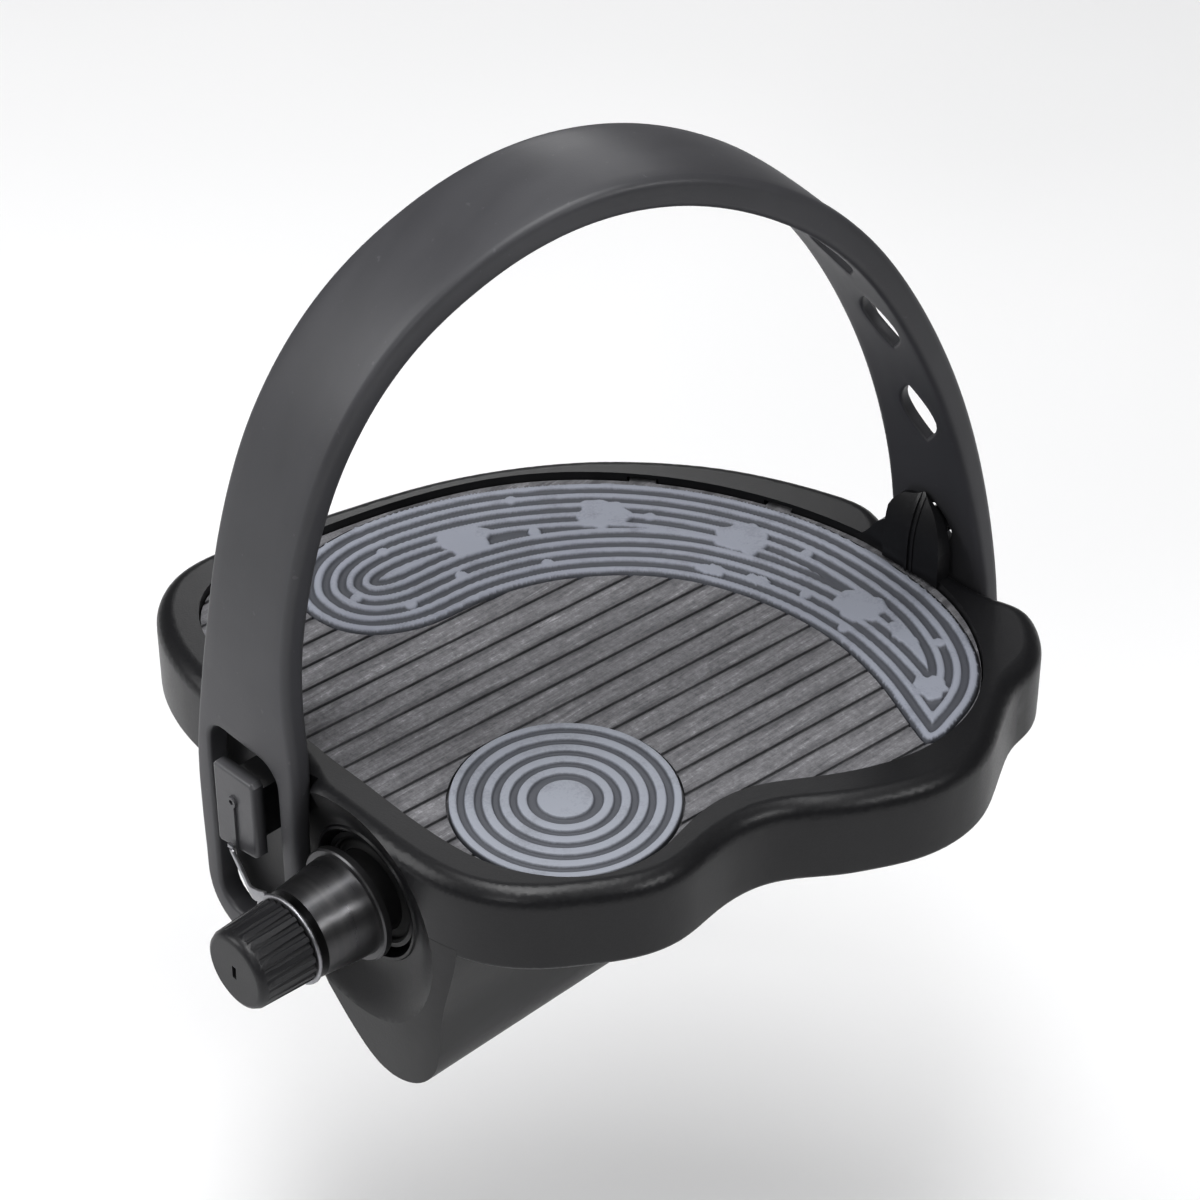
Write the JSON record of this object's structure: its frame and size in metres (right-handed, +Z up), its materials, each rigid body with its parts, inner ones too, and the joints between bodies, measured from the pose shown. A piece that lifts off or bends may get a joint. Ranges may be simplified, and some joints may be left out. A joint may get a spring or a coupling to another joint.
{
  "type": "bicycle pedal with strap",
  "caption": "Foot-shaped platform pedal on a threaded spindle, with ridged foot pads, a weighted keel that keeps it upright and an arched strap over the foot.",
  "frame": {"origin": "on the spindle axis, in the plane where the collar seats on the crank", "axes": "+X along the spindle from the crank to the platform's outer edge, +Y towards the toes, +Z up out of the tread"},
  "size_m": [0.156, 0.1375, 0.1578],
  "materials": {
    "pedal_body": "satin moulded black",
    "tread_plate": "matte dark grey, grained",
    "toe_pad": "matte grey, ridged",
    "ball_pad": "matte grey, ringed",
    "foot_strap": "satin black",
    "spindle": "blackened, polished collar",
    "thread_cap": "ribbed black",
    "spindle_tag": "bright sheet",
    "dust_seal": "black",
    "inner_bearing_cup": "hardened",
    "inner_bearing_balls": "polished",
    "inner_ball_retainer": "natural",
    "outer_bearing_cup": "hardened",
    "outer_bearing_balls": "polished",
    "outer_ball_retainer": "natural",
    "outer_cone": "hardened",
    "lock_washer": "plated",
    "lock_nut": "plated",
    "end_cap": "black",
    "counterweight": "as cast"
  },
  "bodies": {
    "spindle_assembly": {"spindle": "spindle", "outer_cone": "outer_cone", "lock_washer": "lock_washer", "lock_nut": "lock_nut"},
    "platform": {"pedal_body": "pedal_body", "tread_plate": "tread_plate", "toe_pad": "toe_pad", "ball_pad": "ball_pad", "foot_strap": "foot_strap", "spindle_tag": "spindle_tag", "dust_seal": "dust_seal", "inner_bearing_cup": "inner_bearing_cup", "inner_bearing_balls": "inner_bearing_balls", "inner_ball_retainer": "inner_ball_retainer", "outer_bearing_cup": "outer_bearing_cup", "outer_bearing_balls": "outer_bearing_balls", "outer_ball_retainer": "outer_ball_retainer", "end_cap": "end_cap", "counterweight": "counterweight"},
    "cap": {"thread_cap": "thread_cap"}
  },
  "joints": [
    {"name": "pedal_spin", "type": "hinge", "parent": "spindle_assembly", "child": "platform", "pos_m": [0, 0, 0], "axis": [1, 0, 0], "continuous": true},
    {"name": "cap_pull", "type": "slide", "parent": "spindle_assembly", "child": "cap", "axis": [-1, 0, 0], "range_m": [0, 0.045]}
  ]
}
